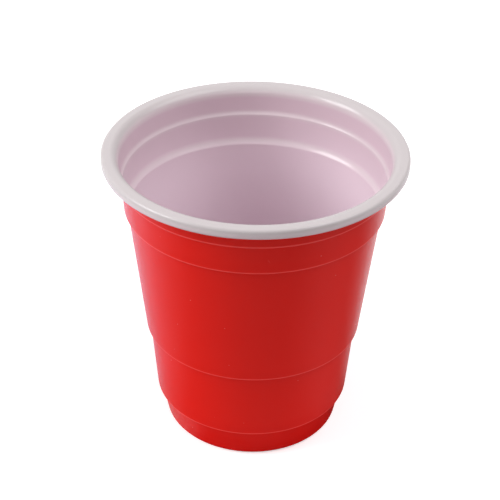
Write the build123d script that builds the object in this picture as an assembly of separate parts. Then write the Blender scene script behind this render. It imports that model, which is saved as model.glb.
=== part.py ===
from build123d import *
import os
from math import acos, ceil, degrees, radians, tan
from typing import NamedTuple

# A plastic shot cup, formed in one go from a thin sheet that is red outside and white inside.
# The sheet's section is drawn once, along the face that lay in the mould: from the middle of the floor,
# round the foot, up the stepped wall, over the rim and round its curl to the cut lip. The other face
# follows at the thickness of each stretch, and one turn about the Z axis makes the cup.
# Lengths are in millimetres and angles in degrees. The origin is the middle of the foot.

# Thickness of the sheet, and the tightest that it bends on the hollow side of a corner
floor_sheet = 0.45
wall_sheet = 0.35
rim_sheet = 0.40
tightest_bend = 0.1

# Foot ring, and the floor panel that is pushed up inside it
foot_radius = 15.3
foot_ring_width = 2.4
foot_round = 0.85
floor_rise = 1.0
riser_lean = 30

# Heights of the wall: two steps measured up from the foot, two lines measured down from the rim
cup_height = 52.5
lower_step_height = 5.56
grip_step_height = 18.75
collar_height = 3.08
band_height = 5.32

# How far each step stands out, and the slope of its ledge
lower_step = 0.67
grip_step = 0.62
band_step = 0.58
collar_step = 0.26
ledge_slope = 25

# Draft of the wall, away from the vertical, below the first step and above each step
foot_draft = 10.9
lower_draft = 4.7
grip_draft = 6.4
band_draft = 4.2
collar_draft = 6.0

# Rolled rim: a rounded mouth and edge, a short straight side, and a curl that ends in a lip by the wall
mouth_round = 1.45
rim_edge_round = 0.5
rim_side = 0.5
curl_round = 0.92
curl_turn = 190
lip_gap = 0.53

# Bends are drawn as short straight stretches, which lie this near to the arc and keep the solid light
bend_tolerance = 0.1

# Most of a straight stretch that the bend at one of its ends may take up
BEND_SHARE = 0.49

rim_bottom = cup_height - rim_edge_round - rim_side - curl_round
rim_underside = cup_height - rim_sheet


class Corner(NamedTuple):
    """A corner of the path along the mould face, and the sheet of the stretch that starts there.

    The bend is the radius on the full side of the corner, whichever face that is, and 0 is a sharp one.
    """

    at: Vector
    sheet: float
    bend: float = 0


def foot_corners():
    """The floor panel, the riser round it and the ring that the cup stands on."""
    ring_inside = foot_radius - foot_ring_width
    panel_radius = ring_inside - floor_rise * tan(radians(riser_lean))
    return [
        Corner(Vector(0, floor_rise), floor_sheet),
        Corner(Vector(panel_radius, floor_rise), floor_sheet),
        Corner(Vector(ring_inside, 0), floor_sheet),
        Corner(Vector(foot_radius, 0), wall_sheet, foot_round),
    ]


def wall_corners():
    """The root and the edge of each step's ledge, and the mouth, where the wall turns into the rim."""
    collar_start = rim_bottom - collar_height
    steps = [
        (lower_step_height, lower_step, lower_draft),
        (grip_step_height, grip_step, grip_draft),
        (collar_start - band_height, band_step, band_draft),
        (collar_start, collar_step, collar_draft),
    ]
    corners = []
    r, z, draft = foot_radius, 0, foot_draft
    for height, step, draft_above in steps:
        r += (height - z) * tan(radians(draft))
        corners.append(Corner(Vector(r, height), wall_sheet))
        r += step
        z = height + step * tan(radians(ledge_slope))
        corners.append(Corner(Vector(r, z), wall_sheet))
        draft = draft_above
    r += (rim_underside - z) * tan(radians(draft))
    return corners + [Corner(Vector(r, rim_underside), rim_sheet, mouth_round)]


def rim_corners(wall_radius):
    """The hollow side of the rim: its edge, and the curl from the rim's side round to the lip."""
    curl_middle = Vector(wall_radius + lip_gap + curl_round, rim_bottom + curl_round)
    side = curl_middle + Vector(curl_round - rim_sheet, 0)
    curl = arc_points(curl_middle, side, -curl_turn, curl_round)
    edge = Corner(Vector(side.X, rim_underside), rim_sheet, rim_edge_round)
    return [edge] + [Corner(point, rim_sheet) for point in curl]


def arc_points(middle, start, turn, full_radius):
    """Points along an arc, near enough to each other for the radius on its full side."""
    stretches = ceil(abs(turn) / degrees(2 * acos(1 - bend_tolerance / full_radius)))
    return [middle + (start - middle).rotate(Axis.Z, turn * i / stretches) for i in range(stretches + 1)]


def bend_points(before, corner, after):
    """Points of a bend on the mould face, which is the full side where the path turns left."""
    back = corner.at - before.at
    ahead = after.at - corner.at
    turn = back.get_signed_angle(ahead, Vector(0, 0, 1))
    if turn > 0:
        radius = max(corner.bend, corner.sheet + tightest_bend)
    else:
        radius = max(corner.bend - corner.sheet, tightest_bend)
    half_turn = tan(radians(abs(turn) / 2))
    reach = min(radius * half_turn, BEND_SHARE * min(back.length, ahead.length))
    start = corner.at - back.normalized() * reach
    inward = back.normalized().rotate(Axis.Z, 90 if turn > 0 else -90)
    return arc_points(start + inward * (reach / half_turn), start, turn, corner.bend)


def bent(corners):
    """The path with the stretches of each bend in place of its corner."""
    path = corners[:1]
    for before, corner, after in zip(corners, corners[1:], corners[2:]):
        points = bend_points(before, corner, after) if corner.bend else [corner.at]
        path += [Corner(point, corner.sheet) for point in points]
    return path + corners[-1:]


def free_face(path):
    """Points of the sheet's other face, where neighbouring stretches meet at their thickness."""
    stretches = []
    for start, end in zip(path, path[1:]):
        along = (end.at - start.at).normalized()
        shift = along.rotate(Axis.Z, 90) * start.sheet
        stretches.append((start.at + shift, end.at + shift, along))
    points = [stretches[0][0]]
    for (_, end, along), (start, _, turned) in zip(stretches, stretches[1:]):
        run = (start - end).cross(turned).Z / along.cross(turned).Z
        points.append(end + along * run)
    return points + [stretches[-1][1]]


def cup():
    """The sheet's section, turned once about the axis."""
    wall = wall_corners()
    path = bent(foot_corners() + wall + rim_corners(wall[-1].at.X))
    outline = [corner.at for corner in path] + free_face(path)[::-1]
    return revolve(Plane.XZ * make_face(Polyline(*outline, close=True)), Axis.Z)


os.makedirs("parts", exist_ok=True)
export_step(cup(), "parts/cup.step")
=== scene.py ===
"""Looks of the plastic shot cup, laid out as an add-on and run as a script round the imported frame.

The cup is one thin sheet of plastic, red on the face that lay in the mould and white on the face that
stayed free. Its section is drawn with a true arc at every bend and spun about the Z axis. Lengths are in
metres and angles in radians, and the settings below are written in millimetres and degrees. The origin is the
middle of the foot.
"""

from math import ceil, cos, pi, radians, sin, tan
from typing import NamedTuple

import bmesh
import bpy
from bpy.props import FloatProperty, FloatVectorProperty, IntProperty, PointerProperty
from mathutils import Matrix, Vector


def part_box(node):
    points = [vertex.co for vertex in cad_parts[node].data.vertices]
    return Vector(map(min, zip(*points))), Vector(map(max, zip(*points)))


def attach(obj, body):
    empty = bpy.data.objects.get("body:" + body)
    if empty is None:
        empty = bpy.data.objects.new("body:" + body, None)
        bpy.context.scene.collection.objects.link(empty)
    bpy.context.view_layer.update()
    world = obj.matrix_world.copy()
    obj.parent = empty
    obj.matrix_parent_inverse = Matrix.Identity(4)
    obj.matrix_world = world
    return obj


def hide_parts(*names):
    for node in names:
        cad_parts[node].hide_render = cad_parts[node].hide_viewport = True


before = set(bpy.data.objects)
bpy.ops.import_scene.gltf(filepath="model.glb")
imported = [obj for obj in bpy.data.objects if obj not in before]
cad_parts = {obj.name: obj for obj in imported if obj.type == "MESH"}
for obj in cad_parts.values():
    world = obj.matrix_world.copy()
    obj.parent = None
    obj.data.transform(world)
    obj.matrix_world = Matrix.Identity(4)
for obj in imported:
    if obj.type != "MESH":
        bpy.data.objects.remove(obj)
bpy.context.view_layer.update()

bl_info = {
    "name": "Plastic Shot Cup",
    "version": (1, 0, 0),
    "blender": (4, 5, 0),
    "location": "View3D > Sidebar > Shot Cup",
    "description": "Dresses the packed cup as a formed sheet of two colours and sets it in soft studio light",
    "category": "Object",
}

MM = 0.001
CUP_LOW, CUP_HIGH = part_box("cup")

# An arc is drawn in steps of this turn, and a straight stretch in pieces no longer than this
ARC_STEP = radians(8)
LONGEST_STRETCH = 2.4 * MM

# Most of a straight stretch that the bends at its two ends may take up
BEND_SHARE = 0.96

# Most that the white face drops at the root of a ledge, as a share of the step's width
DROP_SHARE = 1.2

# A speck fades out between these shares of its radius, and the nick between these shares of its half size
SPECK_FADE = (0.6, 1.1)
NICK_FADE = (0.2, 1.2)

# Sides of each flat disc of the stage
DISC_SIDES = 96

# Tones of the card that the cup's gloss mirrors, by azimuth in degrees: 0 is in front and 90 on the right.
# They are painted reflections of the room's light and shade. The wall mirrors the open card, and the foot
# mirrors the part of it close by, whose dark tones are painted shade.
PAINTED_REFLECTION_TONES = (
    (-180, (0.30, 0.30, 0.30)),
    (-160, (0.72, 0.80, 0.96)),
    (-135, (0.74, 0.83, 1.00)),
    (-100, (0.68, 0.74, 0.88)),
    (-75, (0.44, 0.46, 0.50)),
    (-52, (0.11, 0.11, 0.11)),
    (30, (0.08, 0.08, 0.08)),
    (62, (0.34, 0.34, 0.34)),
    (92, (0.22, 0.22, 0.21)),
    (106, (0.46, 0.46, 0.46)),
    (125, (0.94, 0.94, 0.96)),
    (160, (0.94, 0.96, 1.00)),
    (180, (0.30, 0.30, 0.30)),
)
PAINTED_FOOT_REFLECTION_TONES = (
    (-180, (0.70, 0.70, 0.72)),
    (-50, (0.66, 0.66, 0.68)),
    (-33, (0.06, 0.06, 0.06)),
    (30, (0.02, 0.02, 0.02)),
    (90, (0.05, 0.05, 0.05)),
    (180, (0.70, 0.70, 0.72)),
)


# Kinds of property

def length(name, millimetres, description):
    """A length, given in millimetres."""
    return FloatProperty(
        name=name, description=description, default=millimetres * MM, min=0, precision=5, unit="LENGTH"
    )


def angle(name, degrees, description):
    """An angle, given in degrees."""
    return FloatProperty(name=name, description=description, default=radians(degrees), subtype="ANGLE")


def colour(name, rgb, description):
    """A colour, given as linear red, green and blue."""
    return FloatVectorProperty(
        name=name, description=description, default=rgb, min=0, max=1, size=3, subtype="COLOR"
    )


def share(name, value, description):
    """A share from 0 to 1."""
    return FloatProperty(name=name, description=description, default=value, min=0, max=1, subtype="FACTOR")


def light_strength(name, value, description):
    """The strength of a light that has no size, where 1 shows as white."""
    return FloatProperty(name=name, description=description, default=value, min=0)


def lamp_power(name, watts, description):
    """The power of a lamp, given in watts."""
    return FloatProperty(name=name, description=description, default=watts, min=0, unit="POWER")


# Settings that a user would change

class ShotCupShape(bpy.types.PropertyGroup):
    """Sizes of the sheet's section. The foot, the steps and the drafts are measured on the red face."""

    floor_sheet: length("Floor sheet", 0.45, "Thickness of the sheet in the floor")
    wall_sheet: length("Wall sheet", 0.35, "Thickness of the sheet in the wall")
    rim_sheet: length("Rim sheet", 0.40, "Thickness of the sheet in the rolled rim")

    foot_radius: length("Foot radius", 15.3, "Radius of the foot, where the wall meets the table")
    foot_ring_width: length("Foot ring", 2.4, "Width of the ring that the cup stands on")
    foot_round: length("Foot round", 0.85, "Radius from the foot ring to the wall")
    floor_rise: length("Floor rise", 1.0, "Height of the floor's underside over the table")
    floor_round: length("Floor round", 0.75, "Radius of the floor's edge and of the foot ring's inner edge")
    riser_lean: angle("Riser lean", 30, "Lean of the wall between the foot ring and the floor")

    height: length("Height", CUP_HIGH.z / MM, "From the table to the top of the rim")
    lower_step_height: length("Lower step height", 5.56, "From the table to the lower step")
    grip_step_height: length("Grip step height", 18.75, "From the table to the grip step")
    collar_height: length("Collar height", 3.08, "From the collar line up to the rim")
    band_height: length("Band height", 5.32, "From the band line up to the collar line")

    lower_step: length("Lower step", 0.67, "How far the wall stands out over the lower step")
    grip_step: length("Grip step", 0.62, "How far the wall stands out over the grip step")
    band_step: length("Band step", 0.58, "How far the wall stands out over the band line")
    collar_step: length("Collar step", 0.26, "How far the wall stands out over the collar line")
    ledge_slope: angle("Ledge slope", 25, "Slope of each step's ledge")
    ledge_root_round: length("Ledge root round", 0.9, "Radius of the white face at the root of a ledge")
    ledge_edge_round: length("Ledge edge round", 0.2, "Radius of the red face at the edge of a ledge")
    root_drop: length("Root drop", 0.5, "How much lower the white face lies at the root of a wide ledge")
    ledge_fillet: length("Ledge fillet", 3.0, "Radius of the white face where a ledge meets the wall over it")
    tightest_bend: length("Tightest bend", 0.15, "Smallest radius on the hollow side of a bend")

    foot_draft: angle("Foot draft", 10.9, "Lean of the wall below the lower step")
    lower_draft: angle("Lower draft", 4.7, "Lean of the wall over the lower step")
    grip_draft: angle("Grip draft", 6.4, "Lean of the wall over the grip step")
    band_draft: angle("Band draft", 4.2, "Lean of the wall over the band line")
    collar_draft: angle("Collar draft", 6.0, "Lean of the wall over the collar line")

    rim_radius: length("Rim radius", CUP_HIGH.x / MM, "Radius of the rim's outer side")
    mouth_round: length("Mouth round", 1.45, "Radius from the inside of the wall to the top of the rim")
    rim_edge_round: length("Rim edge round", 0.5, "Radius from the top of the rim to its side")
    rim_side: length("Rim side", 0.5, "Straight height of the rim's side")
    curl_round: length("Curl round", 0.92, "Outer radius of the curl under the rim")
    curl_turn: angle("Curl turn", 190, "Turn of the curl, from the rim's side to the cut lip")

    segments: IntProperty(
        name="Segments",
        description="Flat sides that the cup's round is drawn with",
        default=240,
        min=48,
        max=300,
    )


class ShotCupFinish(bpy.types.PropertyGroup):
    """Colours, gloss and marks of the two faces of the sheet."""

    red: colour("Red", (0.78, 0.0105, 0.0045), "Red of the outside")
    # Painted shade: the red darkens into this one towards the table, and the broad mottle deepens towards it
    # as well.
    red_foot_shade_and_mottle: colour("Deep red", (0.74, 0.006, 0.003), "Red at the foot, where the sheet is thick")
    # Painted highlight: this paler red along each ledge's edge stands in for the light that the edges catch.
    # The nick takes it on as well.
    red_edge_highlight_and_nick: colour("Thin red", (1.0, 0.095, 0.085), "Red along a ledge's edge, where white shows through")
    foot_shade_height: length("Deep height", 9, "Height over the table where the deep red has faded out")
    edge_reach: length("Edge reach", 0.33, "How far the thin red reaches up and down from a ledge's edge")
    red_mottle: share("Red mottle", 0.2, "How far the red deepens in broad patches")
    red_roughness: share("Red roughness", 0.24, "Roughness of the red face")
    red_specular: share("Red specular", 0.25, "Specular level of the red face")
    red_grain: length("Red grain", 0.45, "Size of the grain on the red face")

    white: colour("White", (0.58, 0.552, 0.552), "White of the rim")
    # Painted light: this lighter white lies on the inner ledges and on the mouth's round, where they catch
    # the light.
    white_painted_light: colour("Ledge white", (0.72, 0.645, 0.665), "White of the mouth's round and inner ledges")
    white_mouth: colour("Mouth white", (0.665, 0.525, 0.585), "White below the mouth, tinted by the red")
    # Painted light: further down, the inside turns into this lighter white, against the shade deep in the
    # cup.
    white_deep_painted_light: colour("Drawn white", (0.80, 0.675, 0.74), "White of the inside further down")
    rim_depth: length("Rim depth", 0.3, "Depth under the rim's top where the rim's white starts to fade")
    round_depth: length("Round depth", 1.2, "Depth under the rim's top where the ledge white is at its full")
    mouth_depth: length("Mouth depth", 2.1, "Depth under the rim's top where the ledge white has faded out")
    deep_light_start: length("Drawn start", 2.5, "Depth under the rim's top where the drawn white starts to show")
    deep_light_end: length("Drawn end", 16.5, "Depth under the rim's top where the drawn white is at its full")
    ledge_reach: length("Ledge reach", 1.0, "How far the ledge white reaches up and down from a ledge's edge")
    ledge_light_share: share("Ledge tint", 0.7, "How far the inner ledges take on the ledge white")
    white_roughness: share("White roughness", 0.20, "Roughness of the white face")
    white_mottle: share("White mottle", 0.04, "Roughness that broad patches add to the white face")
    white_specular: share("White specular", 0.42, "Specular level of the white face")
    white_grain: length("White grain", 0.6, "Size of the grain on the white face")

    grain_depth: length("Grain depth", 0.002, "Depth of the grain on both faces")
    grain_strength: share("Grain strength", 0.3, "Strength of the grain on both faces")
    speck: colour("Speck", (0.80, 0.42, 0.40), "Pale dust on the outside")
    speck_tint: share("Speck tint", 0.25, "How far a speck takes on its colour")
    speck_roughness: share("Speck roughness", 0.3, "Roughness that a speck adds")
    nick_azimuth: angle("Nick azimuth", 6.1, "Place of a small nick in the band, round from the front")
    nick_height: length("Nick height", 44.9, "Height of the nick over the table")
    nick_length: length("Nick length", 0.9, "Length of the nick")
    nick_width: length("Nick width", 0.28, "Width of the nick")
    nick_lean: angle("Nick lean", -30, "Lean of the nick away from the vertical")
    nick_depth: length("Nick depth", 0.05, "Depth of the nick")
    nick_tint: share("Nick tint", 0.25, "How far the nick takes on the thin red")


class ShotCupStage(bpy.types.PropertyGroup):
    """Camera, floor, card of painted reflections for the cup's gloss, and lights."""

    camera_forward: length("Camera distance", 193.7, "How far the camera stands in front of the cup's axis")
    camera_height: length("Camera height", 158.8, "Height of the camera over the table")
    camera_pitch: angle("Camera pitch", 33.078, "How far the camera looks down")
    camera_yaw: angle("Camera yaw", -0.196, "How far the camera looks to the right")
    camera_roll: angle("Camera roll", 0.945, "How far the camera is turned about its own line of sight")
    camera_lens: FloatProperty(
        name="Lens", description="Focal length on a 36 mm sensor", default=96.77, min=1, unit="CAMERA"
    )

    floor_radius: length("Floor radius", 3000, "Radius of the floor")
    paper_start: length("Paper start", 42.5, "Distance from the axis where the white paper starts to fade")
    paper_radius: length("Paper radius", 170, "Distance from the axis where the white paper has faded out")
    hole_radius: length("Hole radius", 12.5, "Radius of the clear part of the floor, inside the foot ring")
    floor_white: colour("Floor", (0.80, 0.80, 0.80), "Colour of the white paper under the cup")
    floor_grey: colour("Far floor", (0.45, 0.45, 0.45), "Colour of the floor round the paper")
    floor_lift: light_strength("Floor lift", 0.52, "Light added to the floor where it is seen as background")

    card_radius: length("Card radius", 120, "Radius of the card that the cup's gloss mirrors")
    card_height: length("Card height", 0.05, "Height of the card over the floor")
    card_foot: length("Card foot", 17, "Distance from the axis where the tones for the foot start to fade")
    card_open: length("Card open", 23, "Distance from the axis where the tones for the wall take over")
    card_fade: length("Card fade", 84, "Distance from the axis where the card starts to fade into the floor")
    card_end: length("Card end", 110, "Distance from the axis where the card is as white as the floor")

    room_light: light_strength("Room light", 0.46, "Strength of the light from straight above and below")
    wall_light: light_strength("Wall light", 0.18, "Strength of the light from the sides")
    room_tint: colour("Room tint", (1.0, 0.85, 0.90), "Colour of the light that comes from the room")
    left_light: lamp_power("Left light", 2.0, "Power of the soft light on the left")
    left_azimuth: angle("Left azimuth", -80, "Place of the left light, round from the front")
    left_elevation: angle("Left elevation", 34, "Rise of the left light, seen from the cup's middle")
    left_size: length("Left size", 280, "Side of the left light")
    right_light: lamp_power("Right light", 1.35, "Power of the soft light on the right")
    right_azimuth: angle("Right azimuth", 85, "Place of the right light, round from the front")
    right_elevation: angle("Right elevation", 53, "Rise of the right light, seen from the cup's middle")
    right_size: length("Right size", 360, "Side of the right light")
    light_distance: length("Light distance", 500, "Distance of both lights from the cup's middle")


# Section of the sheet

class Corner(NamedTuple):
    """A corner of the red face, with the sheet of the stretch that starts there.

    The bend is the radius on the full side of the corner, whichever face that is. The white face's corner
    lies lower by the drop, and takes the fillet as its radius where there is one.
    """

    at: Vector
    sheet: float
    bend: float = 0
    drop: float = 0
    fillet: float = 0


def foot_corners(shape):
    """The floor panel, the riser round it and the ring that the cup stands on."""
    ring_inside = shape.foot_radius - shape.foot_ring_width
    panel_radius = ring_inside - shape.floor_rise * tan(shape.riser_lean)
    return [
        Corner(Vector((0, shape.floor_rise)), shape.floor_sheet),
        Corner(Vector((panel_radius, shape.floor_rise)), shape.floor_sheet, shape.floor_round),
        Corner(Vector((ring_inside, 0)), shape.floor_sheet, shape.floor_round),
        Corner(Vector((shape.foot_radius, 0)), shape.wall_sheet, shape.foot_round),
    ]


def wall_corners(shape):
    """The root and the edge of each step's ledge, and the mouth, where the wall turns into the rim."""
    rim_bottom = shape.height - shape.rim_edge_round - shape.rim_side - shape.curl_round
    rim_underside = shape.height - shape.rim_sheet
    collar_start = rim_bottom - shape.collar_height
    steps = [
        (shape.lower_step_height, shape.lower_step, shape.lower_draft),
        (shape.grip_step_height, shape.grip_step, shape.grip_draft),
        (collar_start - shape.band_height, shape.band_step, shape.band_draft),
        (collar_start, shape.collar_step, shape.collar_draft),
    ]
    root = (shape.wall_sheet, shape.ledge_root_round)
    edge = (shape.wall_sheet, shape.ledge_edge_round, 0, shape.ledge_fillet)
    corners = []
    r, z, draft = shape.foot_radius, 0, shape.foot_draft
    for height, step, draft_above in steps:
        r += (height - z) * tan(draft)
        drop = min(shape.root_drop, DROP_SHARE * step)
        corners.append(Corner(Vector((r, height)), *root, drop))
        r += step
        z = height + step * tan(shape.ledge_slope)
        corners.append(Corner(Vector((r, z)), *edge))
        draft = draft_above
    r += (rim_underside - z) * tan(draft)
    return corners + [Corner(Vector((r, rim_underside)), shape.rim_sheet, shape.mouth_round)]


def curl_middle(shape):
    """Middle of the curl, which both faces turn about."""
    return Vector((shape.rim_radius - shape.curl_round, shape.height - shape.rim_edge_round - shape.rim_side))


def rim_corners(shape):
    """The edge of the rim, and the end of its side, where the curl starts."""
    side = shape.rim_radius - shape.rim_sheet
    return [
        Corner(Vector((side, shape.height - shape.rim_sheet)), shape.rim_sheet, shape.rim_edge_round),
        Corner(Vector((side, curl_middle(shape).y)), shape.rim_sheet),
    ]


def left_of(direction):
    """The direction turned a quarter to the left, which is from the red face to the white one."""
    return Vector((-direction.y, direction.x))


def white_corners(corners):
    """Corners of the white face, where neighbouring stretches meet at their thickness, less the drop."""
    stretches = []
    for start, end in zip(corners, corners[1:]):
        along = (end.at - start.at).normalized()
        shift = left_of(along) * start.sheet
        stretches.append((start.at + shift, end.at + shift, along))
    points = [stretches[0][0]]
    for corner, (_, end, along), (start, _, turned) in zip(corners[1:], stretches, stretches[1:]):
        run = (start - end).cross(turned) / along.cross(turned)
        points.append(end + along * run - Vector((0, corner.drop)))
    return points + [stretches[-1][1]]


def turns_of(points):
    """How far the line turns to the left at each point, with none at its ends."""
    stretches = [end - start for start, end in zip(points, points[1:])]
    return [0] + [ahead.angle_signed(back) for back, ahead in zip(stretches, stretches[1:])] + [0]


def arc(middle, start, turn):
    """Points of an arc about the middle, from the start point."""
    steps = max(2, ceil(abs(turn) / ARC_STEP))
    return [middle + Matrix.Rotation(turn * i / steps, 2) @ (start - middle) for i in range(steps + 1)]


def rounded(points, radii):
    """The line with an arc in place of each corner, of its radius or as large as its stretches allow."""
    turns = turns_of(points)
    wishes = [radius * tan(abs(turn) / 2) for radius, turn in zip(radii, turns)]
    rooms = [BEND_SHARE * (end - start).length for start, end in zip(points, points[1:])]
    fits = [room / max(near + far, room) for room, near, far in zip(rooms, wishes, wishes[1:])]
    line = points[:1]
    for i in range(1, len(points) - 1):
        reach = wishes[i] * min(fits[i - 1], fits[i])
        along = (points[i] - points[i - 1]).normalized()
        start = points[i] - along * reach
        to_middle = left_of(along) * (reach / tan(turns[i] / 2))
        line += arc(start + to_middle, start, turns[i])
    return line + points[-1:]


def divided(line):
    """The line with points added, so that no stretch of it is long."""
    points = line[:1]
    for start, end in zip(line, line[1:]):
        pieces = ceil((end - start).length / LONGEST_STRETCH)
        points += [start.lerp(end, i / pieces) for i in range(1, pieces + 1)]
    return points


def sheet_faces(shape):
    """The red and the white line of the section, both from the middle of the floor to the cut lip."""
    corners = foot_corners(shape) + wall_corners(shape) + rim_corners(shape)
    red = [corner.at for corner in corners]
    white = white_corners(corners)
    full = [corner.bend for corner in corners]
    hollow = [max(corner.bend - corner.sheet, shape.tightest_bend) for corner in corners]
    left_turns = [turn > 0 for turn in turns_of(red)]
    red_radii = [f if left else h for f, h, left in zip(full, hollow, left_turns)]
    white_radii = [h if left else f for f, h, left in zip(full, hollow, left_turns)]
    white_radii = [corner.fillet or radius for corner, radius in zip(corners, white_radii)]
    faces = []
    for points, radii in ((red, red_radii), (white, white_radii)):
        curl = arc(curl_middle(shape), points[-1], -shape.curl_turn)
        faces.append(divided(rounded(points, radii) + curl[1:]))
    return faces


# Mesh of the cup

def ring(shell, point, segments):
    """A ring of vertices at a point of the section, which is a single vertex on the axis."""
    if point.x == 0:
        return [shell.verts.new((0, 0, point.y))]
    turns = [2 * pi * i / segments for i in range(segments)]
    return [shell.verts.new((point.x * cos(turn), point.x * sin(turn), point.y)) for turn in turns]


def spun_sheet(name, red, white, segments):
    """The section spun about the axis, with the red face in the first slot and the rest in the second."""
    shell = bmesh.new()
    rings = [ring(shell, point, segments) for point in red + white[::-1]]
    for number, (lower, upper) in enumerate(zip(rings, rings[1:])):
        for i in range(segments):
            j = (i + 1) % segments
            below = [lower[k % len(lower)] for k in (i, j)]
            above = [upper[k % len(upper)] for k in (j, i)]
            face = shell.faces.new(dict.fromkeys(below + above))
            face.material_index = int(number >= len(red) - 1)
            face.smooth = True
    bmesh.ops.recalc_face_normals(shell, faces=shell.faces)
    lip = set(rings[len(red) - 1] + rings[len(red)])
    for edge in shell.edges:
        edge.smooth = not lip.issuperset(edge.verts)
    mesh = bpy.data.meshes.new(name)
    shell.to_mesh(mesh)
    shell.free()
    return mesh


# Building nodes

def add(tree, kind, inputs=None, **settings):
    """A new node, with its settings made and each input linked to a socket or given a value."""
    made = tree.nodes.new(kind)
    for name, value in settings.items():
        setattr(made, name, value)
    for key, value in (inputs or {}).items():
        if isinstance(value, bpy.types.NodeSocket):
            tree.links.new(value, made.inputs[key])
        else:
            made.inputs[key].default_value = value
    return made


def calculate(tree, operation, *values):
    """One operation on one to three values."""
    return add(tree, "ShaderNodeMath", dict(enumerate(values)), operation=operation).outputs[0]


def ramp(tree, value, start, end, low=0.0, high=1.0):
    """The value spread from low to high, smoothly, as it goes from start to end."""
    inputs = {"Value": value, "From Min": start, "From Max": end, "To Min": low, "To Max": high}
    return add(tree, "ShaderNodeMapRange", inputs, interpolation_type="SMOOTHSTEP").outputs[0]


def blend_colours(tree, amount, first, second):
    """The first colour turning into the second as the amount goes from 0 to 1."""
    colours = [value if isinstance(value, bpy.types.NodeSocket) else (*value, 1) for value in (first, second)]
    return add(tree, "ShaderNodeMix", {0: amount, 6: colours[0], 7: colours[1]}, data_type="RGBA").outputs[2]


def own_place(tree):
    """The place of a point in its object's own frame, as X, Y and Z."""
    return add(tree, "ShaderNodeSeparateXYZ", {0: add(tree, "ShaderNodeTexCoord").outputs["Object"]}).outputs


def new_group(name, outputs):
    """A shader node group with the named outputs, and its output node."""
    group = bpy.data.node_groups.new(name, "ShaderNodeTree")
    for output in outputs:
        group.interface.new_socket(name=output, in_out="OUTPUT", socket_type="NodeSocketFloat")
    return group, group.nodes.new("NodeGroupOutput")


def new_input(group, name, value):
    """A value that each material gives to the group."""
    socket = group.interface.new_socket(name=name, in_out="INPUT", socket_type="NodeSocketFloat")
    socket.default_value = value


def add_group(tree, group, inputs=None):
    """The group placed in a material, with the material's own values, as its outputs."""
    node = tree.nodes.new("ShaderNodeGroup")
    node.node_tree = group
    for name, value in (inputs or {}).items():
        node.inputs[name].default_value = value
    return node.outputs


def new_material(name):
    """An empty material, its node tree and its surface socket."""
    material = bpy.data.materials.new(name)
    material.use_nodes = True
    material.node_tree.nodes.clear()
    output = material.node_tree.nodes.new("ShaderNodeOutputMaterial")
    return material, material.node_tree, output.inputs["Surface"]


# Effects on the faces of the sheet

def formed_sheet_group():
    """Traces of forming: a fine grain, and a broad unevenness in tone."""
    group, output = new_group("Formed sheet", ["Height", "Mottle"])
    new_input(group, "Grain size", 0.4 * MM)
    new_input(group, "Patch size", 14 * MM)
    given = group.nodes.new("NodeGroupInput")
    place = add(group, "ShaderNodeTexCoord").outputs["Object"]
    fine_scale = calculate(group, "DIVIDE", 1.0, given.outputs["Grain size"])
    fine = add(group, "ShaderNodeTexNoise", {"Vector": place, "Scale": fine_scale, "Detail": 1.0})
    broad_scale = calculate(group, "DIVIDE", 1.0, given.outputs["Patch size"])
    broad = add(group, "ShaderNodeTexNoise", {"Vector": place, "Scale": broad_scale, "Detail": 1.0})
    group.links.new(fine.outputs[0], output.inputs["Height"])
    group.links.new(broad.outputs[0], output.inputs["Mottle"])
    return group


def specks_group():
    """Sparse round specks, as a mask."""
    group, output = new_group("Dust specks", ["Mask"])
    new_input(group, "Spacing", 2.6 * MM)
    new_input(group, "Radius", 0.1 * MM)
    given = group.nodes.new("NodeGroupInput")
    place = add(group, "ShaderNodeTexCoord").outputs["Object"]
    scale = calculate(group, "DIVIDE", 1.0, given.outputs["Spacing"])
    cells = add(group, "ShaderNodeTexVoronoi", {"Vector": place, "Scale": scale})
    edge = calculate(group, "MULTIPLY", given.outputs["Radius"], scale)
    near = calculate(group, "DIVIDE", cells.outputs["Distance"], edge)
    group.links.new(ramp(group, near, *SPECK_FADE, 1.0, 0.0), output.inputs["Mask"])
    return group


def ledge_bands_group(levels):
    """A band at each of the given heights, as a mask that fades up and down from there."""
    group, output = new_group("Ledge bands", ["Mask"])
    new_input(group, "Reach", 0.2 * MM)
    given = group.nodes.new("NodeGroupInput")
    height = own_place(group)["Z"]
    mask = 0.0
    for level in levels:
        away = calculate(group, "ABSOLUTE", calculate(group, "SUBTRACT", height, level))
        away = calculate(group, "DIVIDE", away, given.outputs["Reach"])
        mask = calculate(group, "MAXIMUM", mask, ramp(group, away, 0.0, 1.0, 1.0, 0.0))
    group.links.new(mask, output.inputs["Mask"])
    return group


def height_group():
    """Height over the table, in metres."""
    group, output = new_group("Height over the table", ["Height"])
    group.links.new(own_place(group)["Z"], output.inputs["Height"])
    return group


# Materials of the cup

def on_wall(shape, azimuth, height):
    """The point of the red wall at a height and an azimuth, which is 0 in front."""
    corners = [corner.at for corner in wall_corners(shape)]
    low, high = next((low, high) for low, high in zip(corners, corners[1:]) if low.y <= height <= high.y)
    r = low.lerp(high, (height - low.y) / (high.y - low.y)).x
    return Vector((r * sin(azimuth), -r * cos(azimuth), height))


def nick_mask(tree, shape, finish):
    """A small slanting nick in the band, as a mask."""
    place = add(tree, "ShaderNodeTexCoord").outputs["Object"]
    across = add(tree, "ShaderNodeMapping", {
        "Vector": place,
        "Location": on_wall(shape, finish.nick_azimuth, finish.nick_height),
        "Rotation": (0, finish.nick_lean, 0),
        "Scale": (finish.nick_width / 2, finish.nick_length / 2, finish.nick_length / 2),
    }, vector_type="TEXTURE").outputs[0]
    away = add(tree, "ShaderNodeVectorMath", {0: across}, operation="LENGTH").outputs["Value"]
    return ramp(tree, away, *NICK_FADE, 1.0, 0.0)


def grain_normal(tree, finish, formed):
    """The normal of a face with its fine grain."""
    inputs = {"Height": formed["Height"], "Strength": finish.grain_strength, "Distance": finish.grain_depth}
    return add(tree, "ShaderNodeBump", inputs).outputs[0]


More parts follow.
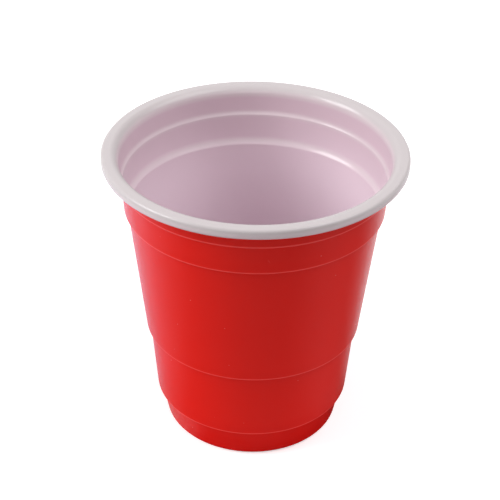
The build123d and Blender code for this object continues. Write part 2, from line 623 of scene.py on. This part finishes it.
def red_plastic(shape, finish, effects):
    """Glossy red of the mould face, with dust and one nick.

    Painted shade deepens it at the foot, and painted highlights pale it along the ledges.
    """
    material, tree, surface = new_material("red_plastic")
    formed = add_group(tree, effects["formed"], {"Grain size": finish.red_grain})
    height = add_group(tree, effects["height"])["Height"]
    edges = add_group(tree, effects["bands"], {"Reach": finish.edge_reach})["Mask"]
    dust = add_group(tree, effects["specks"])["Mask"]
    nick = nick_mask(tree, shape, finish)
    # Painted shade: the red darkens towards the table.
    wall = blend_colours(tree, ramp(tree, height, 0.0, finish.foot_shade_height), finish.red_foot_shade_and_mottle, finish.red)
    mottle = calculate(tree, "MULTIPLY", formed["Mottle"], finish.red_mottle)
    wall = blend_colours(tree, mottle, wall, finish.red_foot_shade_and_mottle)
    # Painted highlight along the edge of each ledge.
    wall = blend_colours(tree, edges, wall, finish.red_edge_highlight_and_nick)
    wall = blend_colours(tree, calculate(tree, "MULTIPLY", dust, finish.speck_tint), wall, finish.speck)
    wall = blend_colours(tree, calculate(tree, "MULTIPLY", nick, finish.nick_tint), wall, finish.red_edge_highlight_and_nick)
    rough = calculate(tree, "MULTIPLY_ADD", dust, finish.speck_roughness, finish.red_roughness)
    dent = add(tree, "ShaderNodeBump", {
        "Height": calculate(tree, "MULTIPLY", nick, -1.0),
        "Normal": grain_normal(tree, finish, formed),
        "Strength": 1.0,
        "Distance": finish.nick_depth,
    })
    shader = add(tree, "ShaderNodeBsdfPrincipled", {
        "Base Color": wall,
        "Roughness": rough,
        "Normal": dent.outputs[0],
        "Specular IOR Level": finish.red_specular,
    })
    tree.links.new(shader.outputs[0], surface)
    return material


def white_plastic(shape, finish, effects):
    """Satin white of the free face: whitest on the rim, and tinted where it was drawn thin over the red.

    Painted light lightens the inner ledges, the mouth's round and the inside further down.
    """
    material, tree, surface = new_material("white_plastic")
    formed = add_group(tree, effects["formed"], {"Grain size": finish.white_grain})
    height = add_group(tree, effects["height"])["Height"]
    ledges = add_group(tree, effects["bands"], {"Reach": finish.ledge_reach})["Mask"]
    top = shape.height
    # Painted light: the white turns lighter further down the inside.
    drawn = ramp(tree, height, top - finish.deep_light_start, top - finish.deep_light_end)
    skin = blend_colours(tree, drawn, finish.white_mouth, finish.white_deep_painted_light)
    # Painted light on the inner ledges.
    ledges = calculate(tree, "MULTIPLY", ledges, finish.ledge_light_share)
    skin = blend_colours(tree, ledges, skin, finish.white_painted_light)
    # Painted light on the mouth's round.
    mouth = ramp(tree, height, top - finish.mouth_depth, top - finish.round_depth)
    skin = blend_colours(tree, mouth, skin, finish.white_painted_light)
    rim = ramp(tree, height, top - finish.round_depth, top - finish.rim_depth)
    skin = blend_colours(tree, rim, skin, finish.white)
    rough = calculate(tree, "MULTIPLY_ADD", formed["Mottle"], finish.white_mottle, finish.white_roughness)
    shader = add(tree, "ShaderNodeBsdfPrincipled", {
        "Base Color": skin,
        "Roughness": rough,
        "Normal": grain_normal(tree, finish, formed),
        "Specular IOR Level": finish.white_specular,
    })
    tree.links.new(shader.outputs[0], surface)
    return material


class SHOTCUP_OT_add_cup(bpy.types.Operator):
    """Spin the cup's sheet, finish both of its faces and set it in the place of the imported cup"""

    bl_idname = "shotcup.add_cup"
    bl_label = "Add the Cup"

    def execute(self, context):
        shape = context.scene.shot_cup_shape
        finish = context.scene.shot_cup_finish
        levels = [corner.at.y for corner in wall_corners(shape) if corner.fillet]
        effects = {
            "formed": formed_sheet_group(),
            "specks": specks_group(),
            "bands": ledge_bands_group(levels),
            "height": height_group(),
        }
        red, white = sheet_faces(shape)
        mesh = spun_sheet("cup_sheet", red, white, shape.segments)
        mesh.materials.append(red_plastic(shape, finish, effects))
        mesh.materials.append(white_plastic(shape, finish, effects))
        cup = bpy.data.objects.new("cup_sheet", mesh)
        context.scene.collection.objects.link(cup)
        even = cup.modifiers.new("Even shading", "WEIGHTED_NORMAL")
        even.keep_sharp = True
        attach(cup, "root")
        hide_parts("cup")
        return {"FINISHED"}


# Stage

def seen_as_background(tree):
    """1 for rays that show the background itself, and 0 for rays that only bring its light."""
    rays = add(tree, "ShaderNodeLightPath").outputs
    seen = calculate(tree, "ADD", rays["Is Camera Ray"], rays["Is Glossy Ray"])
    return calculate(tree, "MINIMUM", calculate(tree, "ADD", seen, rays["Is Transmission Ray"]), 1.0)


def add_disc(context, name, radius, height, material):
    """A flat disc about the cup's axis, as a part of the stage."""
    disc = bmesh.new()
    bmesh.ops.create_circle(disc, cap_ends=True, segments=DISC_SIDES, radius=radius)
    mesh = bpy.data.meshes.new(name)
    disc.to_mesh(mesh)
    disc.free()
    mesh.materials.append(material)
    plate = bpy.data.objects.new(name, mesh)
    plate.location.z = height
    context.scene.collection.objects.link(plate)
    return plate


def radius_of(tree, place):
    """Distance from the cup's axis."""
    squares = calculate(tree, "MULTIPLY", place["Y"], place["Y"])
    return calculate(tree, "SQRT", calculate(tree, "MULTIPLY_ADD", place["X"], place["X"], squares))


def add_floor(context, stage):
    """A round white floor, lifted to the white of the background where it is seen.

    It is clear from below and inside the foot ring, so that the cup's underside can be looked at.
    """
    material, tree, surface = new_material("studio_floor")
    radius = radius_of(tree, own_place(tree))
    away = ramp(tree, radius, stage.paper_start, stage.paper_radius)
    shade = blend_colours(tree, away, stage.floor_white, stage.floor_grey)
    matt = add(tree, "ShaderNodeBsdfDiffuse", {"Color": shade})
    lift = ramp(tree, radius, stage.paper_start, stage.paper_radius, stage.floor_lift, 1.0)
    lift = calculate(tree, "MULTIPLY", seen_as_background(tree), lift)
    glow = add(tree, "ShaderNodeEmission", {"Strength": lift})
    lifted = add(tree, "ShaderNodeAddShader", {0: matt.outputs[0], 1: glow.outputs[0]})
    hidden = calculate(tree, "LESS_THAN", radius, stage.hole_radius)
    below = calculate(tree, "MAXIMUM", hidden, add(tree, "ShaderNodeNewGeometry").outputs["Backfacing"])
    clear = add(tree, "ShaderNodeBsdfTransparent")
    mix = add(tree, "ShaderNodeMixShader", {0: below, 1: lifted.outputs[0], 2: clear.outputs[0]})
    tree.links.new(mix.outputs[0], surface)
    add_disc(context, "studio_floor", stage.floor_radius, 0, material)


def tones_round(tree, turn, tones):
    """A gradient through tones given by azimuth, looked up by the share of a turn."""
    gradient = add(tree, "ShaderNodeValToRGB", {0: turn})
    elements = gradient.color_ramp.elements
    for degrees, tone in tones[1:-1]:
        elements.new((degrees + 180) / 360).color = (*tone, 1)
    elements[0].color = (*tones[0][1], 1)
    elements[-1].color = (*tones[-1][1], 1)
    return gradient.outputs[0]


def add_painted_reflection_card(context, stage):
    """A card round the cup's foot, seen in the cup's gloss alone, with a gradient round it of painted
    reflections.
    """
    material, tree, surface = new_material("painted_reflection_card")
    place = own_place(tree)
    azimuth = calculate(tree, "ARCTAN2", place["X"], calculate(tree, "MULTIPLY", place["Y"], -1.0))
    turn = calculate(tree, "MULTIPLY_ADD", azimuth, 0.5 / pi, 0.5)
    radius = radius_of(tree, place)
    open_part = ramp(tree, radius, stage.card_foot, stage.card_open)
    foot_tones = tones_round(tree, turn, PAINTED_FOOT_REFLECTION_TONES)
    tones = blend_colours(tree, open_part, foot_tones, tones_round(tree, turn, PAINTED_REFLECTION_TONES))
    tones = blend_colours(tree, ramp(tree, radius, stage.card_fade, stage.card_end), tones, stage.floor_white)
    matt = add(tree, "ShaderNodeBsdfDiffuse", {"Color": tones})
    tree.links.new(matt.outputs[0], surface)
    card = add_disc(context, "painted_reflection_card", stage.card_radius, stage.card_height, material)
    card.visible_camera = False
    card.visible_diffuse = False
    card.visible_shadow = False


def set_world(context, stage):
    """White where it is seen, and on everything else a weaker light, strongest from above and below.

    The floor holds back what comes from below, apart from its clear part.
    """
    world = bpy.data.worlds.new("studio")
    context.scene.world = world
    world.use_nodes = True
    tree = world.node_tree
    tree.nodes.clear()
    towards = add(tree, "ShaderNodeTexCoord").outputs["Generated"]
    rise = calculate(tree, "ABSOLUTE", add(tree, "ShaderNodeSeparateXYZ", {0: towards}).outputs["Z"])
    strength = ramp(tree, rise, 0.0, 1.0, stage.wall_light, stage.room_light)
    light = add(tree, "ShaderNodeBackground", {"Color": (*stage.room_tint, 1), "Strength": strength})
    white = add(tree, "ShaderNodeBackground", {"Color": (1, 1, 1, 1), "Strength": 1.0})
    seen = seen_as_background(tree)
    mix = add(tree, "ShaderNodeMixShader", {0: seen, 1: light.outputs[0], 2: white.outputs[0]})
    add(tree, "ShaderNodeOutputWorld", {"Surface": mix.outputs[0]})


def add_soft_light(context, name, power, azimuth, elevation, distance, size, aim):
    """A large square lamp, turned towards the point that it is aimed at. Azimuth 0 is in front of the cup."""
    lamp = bpy.data.lights.new(name, "AREA")
    lamp.energy = power
    lamp.size = size
    light = bpy.data.objects.new(name, lamp)
    away = Vector((sin(azimuth) * cos(elevation), -cos(azimuth) * cos(elevation), sin(elevation)))
    light.location = aim + away * distance
    light.rotation_euler = away.to_track_quat("Z", "Y").to_euler()
    context.scene.collection.objects.link(light)


def add_camera(context, stage):
    """The camera, looking down at the cup from the front."""
    lens = bpy.data.cameras.new("camera")
    lens.lens = stage.camera_lens
    camera = bpy.data.objects.new("camera", lens)
    turn = Matrix.Rotation(-stage.camera_yaw, 4, "Z") @ Matrix.Rotation(pi / 2 - stage.camera_pitch, 4, "X")
    place = Matrix.Translation((0, -stage.camera_forward, stage.camera_height))
    camera.matrix_world = place @ turn @ Matrix.Rotation(stage.camera_roll, 4, "Z")
    context.scene.collection.objects.link(camera)
    context.scene.camera = camera


class SHOTCUP_OT_add_stage(bpy.types.Operator):
    """Add the white floor, the card of painted reflections for the cup's gloss, the soft lights and the
    camera
    """

    bl_idname = "shotcup.add_stage"
    bl_label = "Add the Stage"

    def execute(self, context):
        stage = context.scene.shot_cup_stage
        middle = (CUP_LOW + CUP_HIGH) / 2
        add_floor(context, stage)
        add_painted_reflection_card(context, stage)
        set_world(context, stage)
        lamps = (
            ("left_light", stage.left_light, stage.left_azimuth, stage.left_elevation, stage.left_size),
            ("right_light", stage.right_light, stage.right_azimuth, stage.right_elevation, stage.right_size),
        )
        for name, power, azimuth, elevation, size in lamps:
            add_soft_light(context, name, power, azimuth, elevation, stage.light_distance, size, middle)
        add_camera(context, stage)
        context.scene.view_settings.view_transform = "Standard"
        return {"FINISHED"}


class SHOTCUP_PT_panel(bpy.types.Panel):
    """The cup's settings and steps, in the sidebar of the 3D view"""

    bl_label = "Shot Cup"
    bl_idname = "SHOTCUP_PT_panel"
    bl_space_type = "VIEW_3D"
    bl_region_type = "UI"
    bl_category = "Shot Cup"

    def draw(self, context):
        steps = (
            (context.scene.shot_cup_shape, None),
            (context.scene.shot_cup_finish, SHOTCUP_OT_add_cup),
            (context.scene.shot_cup_stage, SHOTCUP_OT_add_stage),
        )
        for settings, operator in steps:
            column = self.layout.column()
            for name in settings.__annotations__:
                column.prop(settings, name)
            if operator:
                column.operator(operator.bl_idname)


CLASSES = (
    ShotCupShape,
    ShotCupFinish,
    ShotCupStage,
    SHOTCUP_OT_add_cup,
    SHOTCUP_OT_add_stage,
    SHOTCUP_PT_panel,
)


def register():
    for cls in CLASSES:
        bpy.utils.register_class(cls)
    bpy.types.Scene.shot_cup_shape = PointerProperty(type=ShotCupShape)
    bpy.types.Scene.shot_cup_finish = PointerProperty(type=ShotCupFinish)
    bpy.types.Scene.shot_cup_stage = PointerProperty(type=ShotCupStage)


def unregister():
    del bpy.types.Scene.shot_cup_stage
    del bpy.types.Scene.shot_cup_finish
    del bpy.types.Scene.shot_cup_shape
    for cls in reversed(CLASSES):
        bpy.utils.unregister_class(cls)


def main():
    register()
    bpy.ops.shotcup.add_cup()
    bpy.ops.shotcup.add_stage()


if __name__ == "__main__":
    main()
